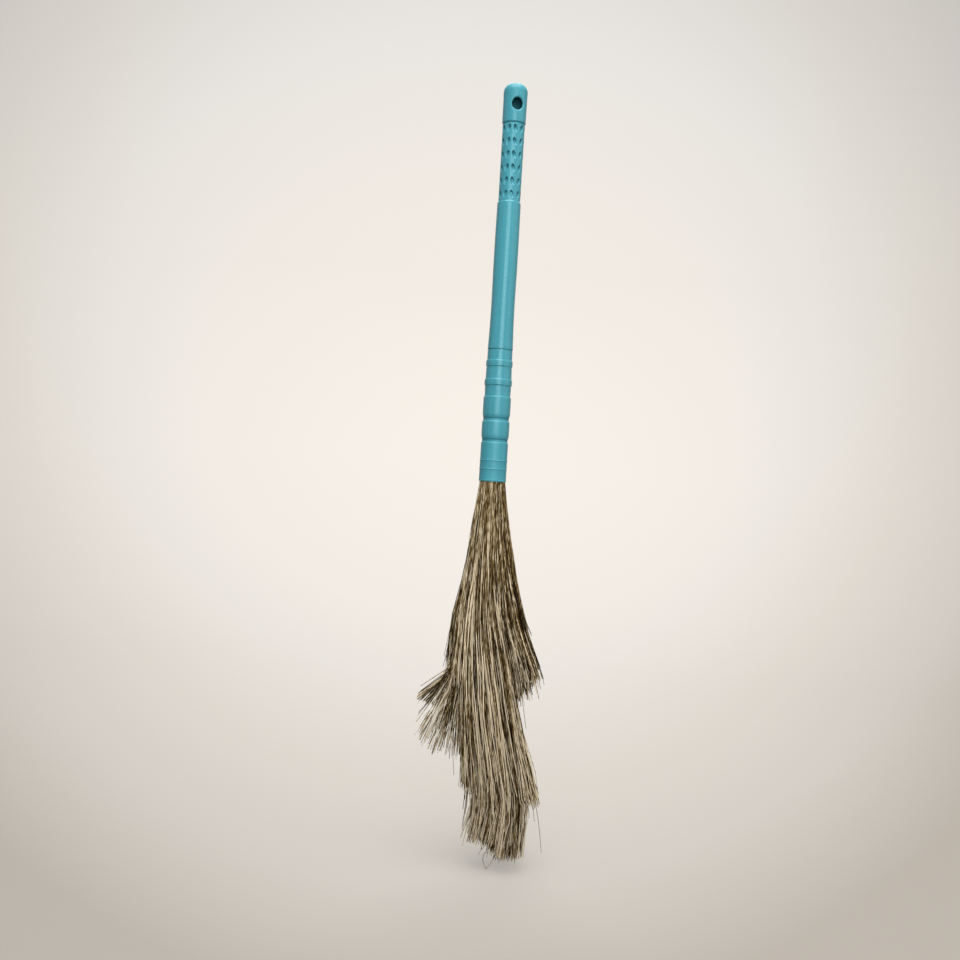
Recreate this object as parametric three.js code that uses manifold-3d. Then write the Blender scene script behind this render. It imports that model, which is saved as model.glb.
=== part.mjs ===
// A floor broom: a hollow moulded handle with a hanging cap and a dimpled grip, a ringed ferrule pushed
// into the handle's lower end, and four hanks of stiff fibre, wire-bound and glued in the ferrule's socket.
// Millimetres, +Z up along the handle. The origin is the centre of the hanging hole, whose axis is Y.

import * as THREE from "three";
import { mergeVertices } from "three/addons/utils/BufferGeometryUtils.js";
import Module from "manifold-3d";

const wasm = await Module();
wasm.setup();

// Driving lengths along the handle, from the cap's crown down to the socket's mouth
const HOLE_BELOW_CROWN = 28;
const CAP_LENGTH = 51;
const GRIP_LENGTH = 100;
const SHAFT_LENGTH = 189;
const NECK_LENGTH = 14;
const RING_LENGTH = 8;
const RING_GAPS = [15.5, 14];
const BARREL_LENGTHS = [26.5, 22];
const GROOVE_LENGTH = 5;
const SOCKET_LENGTH = 50;

// Driving radii of the mouldings
const CAP_RADIUS = 15.4;
const CAP_SHOULDER_RADIUS = 15;
const GRIP_RADIUS = 14.2;
const NECK_RADIUS = 15.9;
const RING_RADII = [16.9, 17.6];
const AFTER_RING_RADII = [16.4, 16.9];
const BARREL_RADIUS = 17.6;
const GROOVE_RADIUS = 16.5;
const SOCKET_RADIUS = 17.3;

// Walls, fits and facets
const CAP_WALL = 2.4;
const SOCKET_WALL = 1.6;
const FIT_GAP = 0.3;
const ROUND_SEGMENTS = 30;

// Stations along Z that several pieces share
const CROWN_Z = HOLE_BELOW_CROWN;
const GRIP_TOP_Z = CROWN_Z - CAP_LENGTH;
const SHAFT_TOP_Z = GRIP_TOP_Z - GRIP_LENGTH;
const FERRULE_TOP_Z = SHAFT_TOP_Z - SHAFT_LENGTH;
const BARREL_TOP_Z = FERRULE_TOP_Z - NECK_LENGTH - 2 * RING_LENGTH - RING_GAPS[0] - RING_GAPS[1];
const UPPER_GROOVE_Z = BARREL_TOP_Z - BARREL_LENGTHS[0] - GROOVE_LENGTH / 2;
const LOWER_GROOVE_Z = UPPER_GROOVE_Z - BARREL_LENGTHS[1] - GROOVE_LENGTH;
const MOUTH_Z = LOWER_GROOVE_Z - GROOVE_LENGTH / 2 - SOCKET_LENGTH;

const teal = new THREE.MeshStandardMaterial({ color: 0x58aab8, roughness: 0.38, metalness: 0 });
const fibre = new THREE.MeshStandardMaterial({ color: 0x9c8a66, roughness: 0.7, metalness: 0 });
const wireSteel = new THREE.MeshStandardMaterial({ color: 0xb4b7ba, roughness: 0.35, metalness: 1 });
const glue = new THREE.MeshStandardMaterial({ color: 0xe6dcbb, roughness: 0.5, metalness: 0 });

// Shape helpers

// A solid of revolution about Z from (radius, z) points, the outside going up and the inside going down.
function revolve(points) {
  const profile = points.map(([radius, z]) => new THREE.Vector2(radius, z));
  return new THREE.LatheGeometry(profile, ROUND_SEGMENTS).rotateX(Math.PI / 2);
}

// Points of a quarter-round corner of the given radius, from angle a to angle b in degrees.
function corner(centreRadius, centreZ, radius, a, b, steps) {
  return Array.from({ length: steps + 1 }, (_, i) => {
    const angle = THREE.MathUtils.degToRad(a + ((b - a) * i) / steps);
    return [centreRadius + radius * Math.cos(angle), centreZ + radius * Math.sin(angle)];
  });
}

// A smooth stretch of profile through a few (radius, z) points.
function smooth(points, divisions) {
  const curve = new THREE.SplineCurve(points.map(([radius, z]) => new THREE.Vector2(radius, z)));
  return curve.getPoints(divisions).map((p) => [p.x, p.y]);
}

function toSolid(geometry) {
  const bare = new THREE.BufferGeometry();
  bare.setAttribute("position", geometry.getAttribute("position"));
  if (geometry.index) bare.setIndex(geometry.index);
  const merged = mergeVertices(bare);
  return new wasm.Manifold(
    new wasm.Mesh({
      numProp: 3,
      vertProperties: new Float32Array(merged.attributes.position.array),
      triVerts: new Uint32Array(merged.index.array),
    }),
  );
}

function toGeometry(solid) {
  const { vertProperties, triVerts } = solid.getMesh();
  const geometry = new THREE.BufferGeometry();
  geometry.setAttribute("position", new THREE.BufferAttribute(vertProperties, 3));
  geometry.setIndex(new THREE.BufferAttribute(triVerts, 1));
  return geometry;
}

function piece(name, geometry, material) {
  const mesh = new THREE.Mesh(geometry, material);
  mesh.name = name;
  return mesh;
}

// Hanging cap: a hollow domed end with an oval hole through its front wall and a plug that fills the tube's end
const HOLE_WIDTH = 14;
const HOLE_HEIGHT = 16;
const CROWN_ROUND = 11;
const PLUG_RADIUS = 11.7;
const PLUG_LENGTH = 24;
const PLUG_WALL = 2;

function hangingCap() {
  const bore = PLUG_RADIUS - PLUG_WALL;
  const hollow = CAP_RADIUS - CAP_WALL;
  const roundCentre = [CAP_RADIUS - CROWN_ROUND, CROWN_Z - CROWN_ROUND];
  const shell = revolve([
    [0, CROWN_Z - CAP_WALL],
    ...corner(...roundCentre, CROWN_ROUND - CAP_WALL, 90, 0, 4),
    [hollow, GRIP_TOP_Z + 2 * CAP_WALL],
    [bore, GRIP_TOP_Z + CAP_WALL / 2],
    [bore, GRIP_TOP_Z - PLUG_LENGTH],
    [PLUG_RADIUS - 1, GRIP_TOP_Z - PLUG_LENGTH],
    [PLUG_RADIUS, GRIP_TOP_Z - PLUG_LENGTH + 2],
    [PLUG_RADIUS, GRIP_TOP_Z],
    [CAP_SHOULDER_RADIUS - 0.4, GRIP_TOP_Z],
    [CAP_SHOULDER_RADIUS, GRIP_TOP_Z + 0.5],
    ...corner(...roundCentre, CROWN_ROUND, 0, 90, 5),
    [0, CROWN_Z],
  ]);
  const oval = new THREE.Shape().absellipse(0, 0, HOLE_WIDTH / 2, HOLE_HEIGHT / 2, 0, 2 * Math.PI);
  const reach = 2 * CAP_RADIUS;
  const holeCutter = new THREE.ExtrudeGeometry(oval, { depth: reach, bevelEnabled: false, curveSegments: 24 });
  holeCutter.rotateX(Math.PI / 2);
  return piece("hang_cap", toGeometry(toSolid(shell).subtract(toSolid(holeCutter))), teal);
}

// Handle tube: a tapered hollow moulding with a recessed grip, ten columns of slanted dimples, and a belled end
const BORE_TOP_RADIUS = PLUG_RADIUS + FIT_GAP;
const BORE_END_RADIUS = 13.6;
const DIMPLE_COLUMNS = 10;
const DIMPLE_ROWS = 6;
const DIMPLE_PITCH = 16.8;
const DIMPLE_WIDTH = 5;
const DIMPLE_HEIGHT = 10;
const DIMPLE_DEPTH = 1.3;
const DIMPLE_SLANT = THREE.MathUtils.degToRad(16);

function handleTube() {
  const top = GRIP_TOP_Z - FIT_GAP;
  const shaftSide = smooth(
    [
      [16.1, FERRULE_TOP_Z + 6],
      [15.3, FERRULE_TOP_Z + 32],
      [15, FERRULE_TOP_Z + 70],
      [15.35, FERRULE_TOP_Z + 140],
      [15, SHAFT_TOP_Z - 8],
      [14.7, SHAFT_TOP_Z - 1],
    ],
    12,
  );
  const tube = revolve([
    [BORE_TOP_RADIUS, top],
    [BORE_END_RADIUS, FERRULE_TOP_Z],
    [16.1, FERRULE_TOP_Z],
    ...shaftSide,
    [GRIP_RADIUS - 0.2, SHAFT_TOP_Z],
    [GRIP_RADIUS, top],
    [BORE_TOP_RADIUS, top],
  ]);
  let solid = toSolid(tube);
  const firstRowZ = SHAFT_TOP_Z + (GRIP_LENGTH - (DIMPLE_ROWS - 1) * DIMPLE_PITCH) / 2;
  for (let column = 0; column < DIMPLE_COLUMNS; column++) {
    const slant = column % 2 ? DIMPLE_SLANT : -DIMPLE_SLANT;
    const angle = (2 * Math.PI * (column + 0.5)) / DIMPLE_COLUMNS;
    for (let row = 0; row < DIMPLE_ROWS; row++) {
      const dimple = new THREE.SphereGeometry(1, 6, 3)
        .rotateX(Math.PI / 2)
        .scale(DIMPLE_DEPTH, DIMPLE_WIDTH / 2, DIMPLE_HEIGHT / 2)
        .rotateX(slant)
        .translate(GRIP_RADIUS - 0.1, 0, firstRowZ + row * DIMPLE_PITCH)
        .rotateZ(angle);
      solid = solid.subtract(toSolid(dimple));
    }
  }
  return piece("handle_tube", toGeometry(solid), teal);
}

// Ferrule: a spigot for the handle tube, two raised rings, two crowned barrels and the fibre socket.
// The grooves beside the barrels stand out as ridges inside the socket, which keep the wire bindings in.
const SPIGOT_LENGTH = 44;
const SPIGOT_RADIUS = 13.05;
const SPIGOT_WALL = 1.8;
const CEILING_THICKNESS = 3;
const FINE_RINGS_ABOVE_MOUTH = [26, 15.5];
const FINE_RING_HEIGHT = 0.35;
const RIDGE_RADIUS = GROOVE_RADIUS - SOCKET_WALL;
const SOCKET_BORE = SOCKET_RADIUS - SOCKET_WALL;
const CEILING_Z = BARREL_TOP_Z - CEILING_THICKNESS;

// A raised band with a small bevel at each end, listed from top to bottom.
function band(topZ, length, radius, bevel) {
  return [
    [radius - bevel, topZ],
    [radius, topZ - bevel],
    [radius, topZ - length + bevel],
    [radius - bevel, topZ - length],
  ];
}

// A barrel that swells slightly at its middle, listed from top to bottom.
function barrel(topZ, length, edgeRadius, crownRadius, steps) {
  return Array.from({ length: steps + 1 }, (_, i) => {
    const along = i / steps;
    return [edgeRadius + (crownRadius - edgeRadius) * Math.sin(Math.PI * along), topZ - length * along];
  });
}

function ferrule() {
  const neckTop = FERRULE_TOP_Z - FIT_GAP;
  const ringTops = [FERRULE_TOP_Z - NECK_LENGTH];
  ringTops.push(ringTops[0] - RING_LENGTH - RING_GAPS[0]);
  const outside = [
    [SPIGOT_RADIUS - 0.8, FERRULE_TOP_Z + SPIGOT_LENGTH],
    [SPIGOT_RADIUS, FERRULE_TOP_Z + SPIGOT_LENGTH - 2],
    [SPIGOT_RADIUS + 0.2, neckTop],
    [NECK_RADIUS, neckTop],
    [NECK_RADIUS, ringTops[0]],
    ...band(ringTops[0], RING_LENGTH, RING_RADII[0], 0.4),
    [AFTER_RING_RADII[0], ringTops[0] - RING_LENGTH],
    [AFTER_RING_RADII[0] + 0.3, ringTops[1]],
    ...band(ringTops[1], RING_LENGTH, RING_RADII[1], 0.4),
    [AFTER_RING_RADII[1], ringTops[1] - RING_LENGTH],
    [AFTER_RING_RADII[1], BARREL_TOP_Z],
    ...barrel(BARREL_TOP_Z, BARREL_LENGTHS[0], BARREL_RADIUS - 0.3, BARREL_RADIUS, 3),
    [GROOVE_RADIUS, UPPER_GROOVE_Z],
    ...barrel(UPPER_GROOVE_Z - GROOVE_LENGTH / 2, BARREL_LENGTHS[1], BARREL_RADIUS - 0.4, BARREL_RADIUS, 3),
    [GROOVE_RADIUS, LOWER_GROOVE_Z],
    [SOCKET_RADIUS - 0.4, MOUTH_Z + SOCKET_LENGTH],
    [SOCKET_RADIUS, MOUTH_Z + SOCKET_LENGTH - 4],
    ...FINE_RINGS_ABOVE_MOUTH.flatMap((height) => [
      [SOCKET_RADIUS, MOUTH_Z + height + 1],
      [SOCKET_RADIUS + FINE_RING_HEIGHT, MOUTH_Z + height],
      [SOCKET_RADIUS, MOUTH_Z + height - 1],
    ]),
    [SOCKET_RADIUS, MOUTH_Z + 1.6],
    [SOCKET_RADIUS + FINE_RING_HEIGHT, MOUTH_Z + 1.2],
    [SOCKET_RADIUS + FINE_RING_HEIGHT, MOUTH_Z],
  ];
  const inside = [
    [0, CEILING_Z],
    [SOCKET_BORE, CEILING_Z],
    [SOCKET_BORE, UPPER_GROOVE_Z + GROOVE_LENGTH / 2],
    [RIDGE_RADIUS, UPPER_GROOVE_Z],
    [SOCKET_BORE, UPPER_GROOVE_Z - GROOVE_LENGTH / 2],
    [SOCKET_BORE, LOWER_GROOVE_Z + GROOVE_LENGTH / 2],
    [RIDGE_RADIUS, LOWER_GROOVE_Z],
    [SOCKET_BORE, LOWER_GROOVE_Z - GROOVE_LENGTH / 2],
    [SOCKET_BORE, MOUTH_Z + 1],
    [SOCKET_BORE + 0.6, MOUTH_Z],
  ];
  const spigotBore = SPIGOT_RADIUS - SPIGOT_WALL;
  const hollowNeck = [
    [spigotBore, FERRULE_TOP_Z + SPIGOT_LENGTH],
    [spigotBore, FERRULE_TOP_Z - 4],
    [NECK_RADIUS - SPIGOT_WALL, FERRULE_TOP_Z - 8],
    [NECK_RADIUS - SPIGOT_WALL, BARREL_TOP_Z],
    [0, BARREL_TOP_Z],
  ];
  return piece("ferrule", revolve([...inside, ...outside.reverse(), ...hollowNeck]), teal);
}

// Glue plug: hot-melt glue set between the socket's ceiling and the butts of the fibre
const GLUE_DEPTH = 8;
const BUTT_TOP_Z = CEILING_Z - FIT_GAP - GLUE_DEPTH - FIT_GAP;

function gluePlug() {
  const top = CEILING_Z - FIT_GAP;
  const radius = SOCKET_BORE - FIT_GAP;
  const solid = revolve([
    [0, top - GLUE_DEPTH],
    [radius - 2, top - GLUE_DEPTH],
    [radius, top - GLUE_DEPTH + 2],
    [radius, top],
    [0, top],
  ]);
  return piece("glue_plug", solid, glue);
}

// Wire bindings: turns of steel wire drawn tight round the four butts, one above each ridge in the socket
const WIRE_DIAMETER = 1;
const WIRE_TURNS = 3;
const WIRE_PITCH = 1.5;
const WIRE_STEPS_PER_TURN = 14;
const WIRE_SIDES = 4;
const BUTT_RADIUS = SOCKET_BORE - 2 * FIT_GAP - WIRE_DIAMETER;
const BINDING_RADIUS = BUTT_RADIUS + FIT_GAP + WIRE_DIAMETER / 2;

class Helix extends THREE.Curve {
  constructor(radius, turns, pitch, topZ) {
    super();
    Object.assign(this, { radius, turns, pitch, topZ });
  }
  getPoint(t, target = new THREE.Vector3()) {
    const angle = 2 * Math.PI * this.turns * t;
    const z = this.topZ - this.pitch * this.turns * t;
    return target.set(this.radius * Math.cos(angle), this.radius * Math.sin(angle), z);
  }
}

// The least clear distance between neighbouring turns, measured on points of the wire's centreline.
function leastGap(curve, turns, diameter) {
  const perTurn = 48;
  const points = curve.getPoints(turns * perTurn);
  let least = Infinity;
  for (let i = 0; i < points.length; i++) {
    for (let j = i + perTurn / 2; j < points.length; j++) {
      least = Math.min(least, points[i].distanceTo(points[j]) - diameter);
    }
  }
  return least;
}

function wireBinding(name, topZ) {
  const helix = new Helix(BINDING_RADIUS, WIRE_TURNS, WIRE_PITCH, topZ);
  const section = new THREE.Shape(
    Array.from({ length: WIRE_SIDES }, (_, i) => {
      const angle = (2 * Math.PI * i) / WIRE_SIDES;
      return new THREE.Vector2(Math.cos(angle), Math.sin(angle)).multiplyScalar(WIRE_DIAMETER / 2);
    }),
  );
  const steps = WIRE_TURNS * WIRE_STEPS_PER_TURN;
  const tube = new THREE.ExtrudeGeometry(section, { steps, extrudePath: helix, bevelEnabled: false });
  console.log(`${name}: least gap between turns ${leastGap(helix, WIRE_TURNS, WIRE_DIAMETER).toFixed(2)} mm`);
  return piece(name, tube, wireSteel);
}

// Fibre hanks: each is a glued butt in the socket with its strands growing out of the butt's lower face.
// A strand keeps its place (u across, v in depth) on the unit disc of the bundle all the way down, and the
// stations below give where the bundle's edges lie, so no two strands cross.
const STRAND_PITCH = 1.36;
const STRAND_DISC = 13;
const STRAND_ROOT = 2;
const STRAND_RADII = { root: 0.48, upper: 1.1, lower: 1.5, tip: 0.75 };
const BUTT_END_Z = MOUTH_Z + 6;
const FAN_TURN = THREE.MathUtils.degToRad(-11);

// The disc is parted into hanks along columns of the strand lattice, which stands askew to the broom's front
const COLUMN_STEP = (STRAND_PITCH * Math.sqrt(3)) / 2 / STRAND_DISC;
const ROW_STEP = STRAND_PITCH / STRAND_DISC;
const LATTICE_TURN = THREE.MathUtils.degToRad(-20);
const LEFT_CUT = -5.5 * COLUMN_STEP;
const RIGHT_CUT = 3.5 * COLUMN_STEP;
const HANK_KERF = 0.4;

// Where the whole bundle's left and right edges and its half depth lie at a drop below the mouth
const UPPER_STATION = { left: [-30, 120], right: [38, 120], depth: 26 };
const LOWER_STATION = { left: [-46.5, 230], right: [74, 230], depth: 36 };
const TAIL_STATIONS = [
  { left: [-31, 310], right: [72.5, 310], depth: 38 },
  { left: [-28.5, 390], right: [101.5, 390], depth: 38 },
];

// Each hank's share of the disc, and where its tips would lie if the hank spanned the whole bundle
const HANKS = {
  left_hank: { from: -1, to: LEFT_CUT, tips: { left: [-76, 288], right: [76, 480], depth: 34 } },
  right_hank: { from: RIGHT_CUT, to: 1, tips: { left: [-17, 408], right: [79, 254], depth: 40 } },
  front_tail_hank: {
    from: LEFT_CUT,
    to: RIGHT_CUT,
    side: -1,
    tips: { left: [-24.5, 440], right: [97, 496], depth: 38 },
  },
  back_tail_hank: {
    from: LEFT_CUT,
    to: RIGHT_CUT,
    side: 1,
    tips: { left: [-24.5, 432], right: [97, 488], depth: 38 },
  },
};
const TIP_SCATTER = 9;

// A repeatable stream of numbers from -1 to 1.
function scatterStream(seed) {
  let state = seed;
  return () => {
    state = (state * 16807) % 2147483647;
    return (2 * state) / 2147483647 - 1;
  };
}

const { lerp } = THREE.MathUtils;

// The point at a station for a place on the unit disc, across from -1 to 1 and in depth from -1 to 1.
function atStation({ left, right, depth }, u, v) {
  const across = (u + 1) / 2;
  return new THREE.Vector3(lerp(left[0], right[0], across), v * depth, MOUTH_Z - lerp(left[1], right[1], across));
}

// The centreline of one strand, from inside the butt to its tip.
function strandLine(hank, place, scatter) {
  const { x: u, y: v } = place.clone().rotateAround(new THREE.Vector2(), LATTICE_TURN);
  const root = new THREE.Vector3(u * STRAND_DISC, v * STRAND_DISC, BUTT_END_Z + STRAND_ROOT);
  const stations = [UPPER_STATION, LOWER_STATION, ...(hank.side ? TAIL_STATIONS : [])];
  const tip = atStation(hank.tips, u, v);
  tip.add(new THREE.Vector3(scatter(), scatter(), TIP_SCATTER * scatter()));
  return [root, ...stations.map((station) => atStation(station, u, v)), tip];
}

// The places of a hank's strands: those columns and rows of a close-packed lattice that its share holds.
function strandPlaces(hank) {
  const places = [];
  const reach = Math.ceil(1 / COLUMN_STEP);
  for (let i = -reach; i <= reach; i++) {
    for (let j = -reach; j <= reach; j++) {
      const place = new THREE.Vector2(i * COLUMN_STEP, (j + (i % 2 ? 0 : 0.5)) * ROW_STEP);
      const inShare = place.x > hank.from && place.x < hank.to && place.length() < 1;
      const onSide = !hank.side || place.y * hank.side > ROW_STEP / 4;
      if (inShare && onSide) places.push(place);
    }
  }
  return places;
}

// One closed three-sided tube along a centreline, added to growing vertex and triangle lists.
function addStrand(line, radii, spin, vertices, triangles) {
  const sides = 3;
  const base = vertices.length / 3;
  line.forEach((point, i) => {
    for (let k = 0; k < sides; k++) {
      const angle = spin + (2 * Math.PI * k) / sides;
      vertices.push(point.x + radii[i] * Math.cos(angle), point.y + radii[i] * Math.sin(angle), point.z);
    }
  });
  for (let i = 0; i + 1 < line.length; i++) {
    for (let k = 0; k < sides; k++) {
      const a = base + i * sides + k;
      const b = base + i * sides + ((k + 1) % sides);
      triangles.push(a, a + sides, b, b, a + sides, b + sides);
    }
  }
  const tip = base + (line.length - 1) * sides;
  triangles.push(base, base + 1, base + 2, tip, tip + 2, tip + 1);
}

// The hank's share of the round butt, cut from it along straight lines with a kerf between hanks.
function butt(hank) {
  const round = revolve([
    [0, BUTT_END_Z],
    [BUTT_RADIUS, BUTT_END_Z],
    [BUTT_RADIUS, BUTT_TOP_Z],
    [0, BUTT_TOP_Z],
  ]);
  const wide = 2 * BUTT_RADIUS;
  const edge = (column) => (Math.abs(column) === 1 ? column * wide : column * STRAND_DISC);
  const x0 = edge(hank.from) + HANK_KERF / 2;
  const x1 = edge(hank.to) - HANK_KERF / 2;
  const y0 = hank.side === 1 ? HANK_KERF / 2 : -wide;
  const y1 = hank.side === -1 ? -HANK_KERF / 2 : wide;
  const share = new THREE.BoxGeometry(x1 - x0, y1 - y0, 2 * (BUTT_TOP_Z - BUTT_END_Z));
  share.translate((x0 + x1) / 2, (y0 + y1) / 2, (BUTT_TOP_Z + BUTT_END_Z) / 2).rotateZ(LATTICE_TURN);
  return toSolid(round).intersect(toSolid(share));
}

function fibreHank(name, hank, seed) {
  const scatter = scatterStream(seed);
  const vertices = [];
  const triangles = [];
  const { root, upper, lower, tip } = STRAND_RADII;
  const radii = hank.side ? [root, upper, lower, lower, lower, tip] : [root, upper, lower, tip];
  for (const place of strandPlaces(hank)) {
    addStrand(strandLine(hank, place, scatter), radii, Math.PI * scatter(), vertices, triangles);
  }
  const strands = new THREE.BufferGeometry();
  strands.setAttribute("position", new THREE.Float32BufferAttribute(vertices, 3));
  strands.setIndex(triangles);
  return piece(name, toGeometry(toSolid(strands).add(butt(hank))), fibre);
}

// The broom as it is put together: the head is turned on the handle, as the fibres took their set in use
const head = new THREE.Group();
head.rotation.z = FAN_TURN;
Object.entries(HANKS).forEach(([name, hank], i) => head.add(fibreHank(name, hank, 101 + 17 * i)));

const broom = new THREE.Group();
broom.add(hangingCap(), handleTube(), ferrule(), gluePlug());
const bindingHeight = WIRE_TURNS * WIRE_PITCH + WIRE_DIAMETER;
broom.add(wireBinding("upper_binding_wire", UPPER_GROOVE_Z + GROOVE_LENGTH / 2 + bindingHeight));
broom.add(wireBinding("lower_binding_wire", LOWER_GROOVE_Z + GROOVE_LENGTH / 2 + bindingHeight));
broom.add(head);

export default broom;
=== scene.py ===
"""A worn floor broom with a teal moulded handle and a ragged head of brown fibre."""

import math

import bmesh
import bpy
import numpy as np
from mathutils import Matrix, Vector


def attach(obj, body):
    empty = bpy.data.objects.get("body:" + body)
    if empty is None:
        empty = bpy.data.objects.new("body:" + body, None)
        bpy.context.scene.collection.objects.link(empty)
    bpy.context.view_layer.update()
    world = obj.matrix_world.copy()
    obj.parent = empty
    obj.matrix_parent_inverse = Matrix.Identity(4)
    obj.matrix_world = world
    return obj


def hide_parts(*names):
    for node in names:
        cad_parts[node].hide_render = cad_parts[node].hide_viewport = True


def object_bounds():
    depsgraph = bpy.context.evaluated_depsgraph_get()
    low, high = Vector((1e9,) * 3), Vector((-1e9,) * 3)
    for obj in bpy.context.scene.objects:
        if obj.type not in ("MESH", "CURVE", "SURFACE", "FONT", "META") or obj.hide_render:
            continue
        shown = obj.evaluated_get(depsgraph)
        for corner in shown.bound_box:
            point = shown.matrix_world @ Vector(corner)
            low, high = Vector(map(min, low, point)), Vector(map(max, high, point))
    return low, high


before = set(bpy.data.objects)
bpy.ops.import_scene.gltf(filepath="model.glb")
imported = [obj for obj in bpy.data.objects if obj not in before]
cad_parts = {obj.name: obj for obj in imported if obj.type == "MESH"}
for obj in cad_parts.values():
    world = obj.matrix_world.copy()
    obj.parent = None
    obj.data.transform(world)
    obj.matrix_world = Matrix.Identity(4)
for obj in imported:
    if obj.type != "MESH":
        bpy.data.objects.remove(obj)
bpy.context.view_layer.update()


# Handle tube: one long injection moulding in teal plastic, hollow, with a thinner grip at its top that is
# pressed all over with slanted dimples, and a smooth shaft that has a faint waist and bells out to its lip.
# The cap is plugged into its top, and the ferrule's spigot into its lower end.
MM = 0.001
GRIP_TOP, SHAFT_TOP, TUBE_END = -23.3, -123.0, -312.0
GRIP_RADIUS, SHAFT_RADIUS, BELL_RADIUS = 14.2, 15.0, 16.15
BORE_TOP_RADIUS, BORE_END_RADIUS = 12.0, 13.6
SHOULDER_HEIGHT, SHOULDER_TUCK = 1.5, 0.2
GRIP_END_HEIGHT, GRIP_END_TUCK = 1.4, 0.9
TUBE_OUTLINE = [
    (BORE_TOP_RADIUS, GRIP_TOP),
    (BORE_END_RADIUS, TUBE_END),
    (BELL_RADIUS, TUBE_END),
    (SHAFT_RADIUS, SHAFT_TOP - SHOULDER_HEIGHT),
    (GRIP_RADIUS - SHOULDER_TUCK, SHAFT_TOP),
    (GRIP_RADIUS, GRIP_TOP - GRIP_END_HEIGHT),
    (GRIP_RADIUS - GRIP_END_TUCK, GRIP_TOP),
]
TUBE_ROUNDING, TUBE_STEPS, MERGE_GAP = 0.35, 240, 0.01
LONG_EDGE, GRIP_CUTS, SHAFT_CUTS = 50, 220, 60
SHAFT_SWELL, WAIST_BELOW_TOP = 0.38, 125
SWELL_FROM, SWELL_TO = 2.2, 188
DIMPLE_COLUMNS, DIMPLE_ROWS, DIMPLE_PITCH = 10, 6, 16.8
DIMPLE_WIDTH, DIMPLE_HEIGHT, DIMPLE_DEPTH = 5.2, 10.4, 1.8
DIMPLE_SLANT, DIMPLE_TURN = math.radians(16), math.radians(-2.5)
# A dimple's bowl: how steep its sides are, its depth at its middle, and how much deeper it is higher up
BOWL_POWER, BOWL_MIDDLE, BOWL_TILT = 0.6, 0.9, 0.35
# Painted shade darkens a dimple's upper end, where its top wall faces down
DIMPLE_SHADE_MIDDLE, DIMPLE_SHADE_TILT, DIMPLE_SHADE_AMOUNT = 0.3, 0.9, 1.8
GRIP_SKIN = 0.5
# The last colour is the tint at full painted shade in recesses, also used faintly for grime on the cap
TEAL_DEEP, TEAL_PALE, SHADE_AND_GRIME_TINT = (0.044, 0.256, 0.320), (0.057, 0.296, 0.362), (0.12, 0.37, 0.41)
# Roughness that wear has added, by the share of the way up from the socket's mouth to the crown
RUBBED = [(0, 0.24), (0.3, 0), (0.86, 0), (0.95, 0.03), (0.98, 0.2)]


def wire_profile(outline, rounding, closed=True):
    """A bmesh with the outline (radius, height) as a wire in the XZ plane, its corners rounded."""
    mesh = bmesh.new()
    corners = [mesh.verts.new((radius * MM, 0, height * MM)) for radius, height in outline]
    for a, b in zip(corners, corners[1:]):
        mesh.edges.new((a, b))
    if closed:
        mesh.edges.new((corners[-1], corners[0]))
    off_axis = [corner for corner in corners if corner.co.x > 0]
    bmesh.ops.bevel(mesh, geom=off_axis, affect="VERTICES", offset=rounding * MM, offset_type="OFFSET",
                    segments=3, profile=0.5, material=-1, clamp_overlap=True)
    return mesh


def spin_round(mesh, steps):
    """Turns the wire about the handle's axis into a closed skin that faces out."""
    bmesh.ops.spin(mesh, geom=mesh.verts[:] + mesh.edges[:], cent=(0, 0, 0), axis=(0, 0, 1),
                   angle=math.tau, steps=steps, use_merge=True)
    bmesh.ops.remove_doubles(mesh, verts=mesh.verts[:], dist=MERGE_GAP * MM)
    bmesh.ops.recalc_face_normals(mesh, faces=mesh.faces[:])


def shaft_radius(below_top):
    """The shaft's radius at a distance below its top: a faint swell, a waist, then the bell at its lip."""
    swell = SHAFT_SWELL * math.sin(math.pi * min(below_top / WAIST_BELOW_TOP, 1))
    bell_share = max(0.0, below_top - WAIST_BELOW_TOP) / (SHAFT_TOP - TUBE_END - WAIST_BELOW_TOP)
    return SHAFT_RADIUS + swell + (BELL_RADIUS - SHAFT_RADIUS) * bell_share ** 2


def dimple_press(angle, height):
    """How deep the grip is pressed at a place (0 to about 1), and how much painted shade it gets there (0 to
    1).
    """
    spacing = math.tau / DIMPLE_COLUMNS
    column = math.floor((angle - DIMPLE_TURN) / spacing)
    across = GRIP_RADIUS * (angle - DIMPLE_TURN - (column + 0.5) * spacing)
    lowest_row = (GRIP_TOP + SHAFT_TOP - (DIMPLE_ROWS - 1) * DIMPLE_PITCH) / 2
    row = min(max(round((height - lowest_row) / DIMPLE_PITCH), 0), DIMPLE_ROWS - 1)
    along = height - lowest_row - row * DIMPLE_PITCH
    slant = -DIMPLE_SLANT if column % 2 else DIMPLE_SLANT
    a = (across * math.cos(slant) - along * math.sin(slant)) / (DIMPLE_WIDTH / 2)
    b = (across * math.sin(slant) + along * math.cos(slant)) / (DIMPLE_HEIGHT / 2)
    press = max(0.0, 1 - a * a - b * b) ** BOWL_POWER * (BOWL_MIDDLE + BOWL_TILT * b)
    shaded = min(max(DIMPLE_SHADE_MIDDLE + DIMPLE_SHADE_TILT * b, 0.0), 1.0)
    return press, min(1.0, DIMPLE_SHADE_AMOUNT * press * shaded)


def finished_piece(name, mesh, material, node):
    """Makes the bmesh a smooth object of the broom that stands for a CAD node."""
    for face in mesh.faces:
        face.smooth = True
    data = bpy.data.meshes.new(name)
    mesh.to_mesh(data)
    mesh.free()
    data.materials.append(material)
    piece = bpy.data.objects.new(name, data)
    bpy.context.scene.collection.objects.link(piece)
    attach(piece, "root")
    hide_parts(node)


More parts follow.
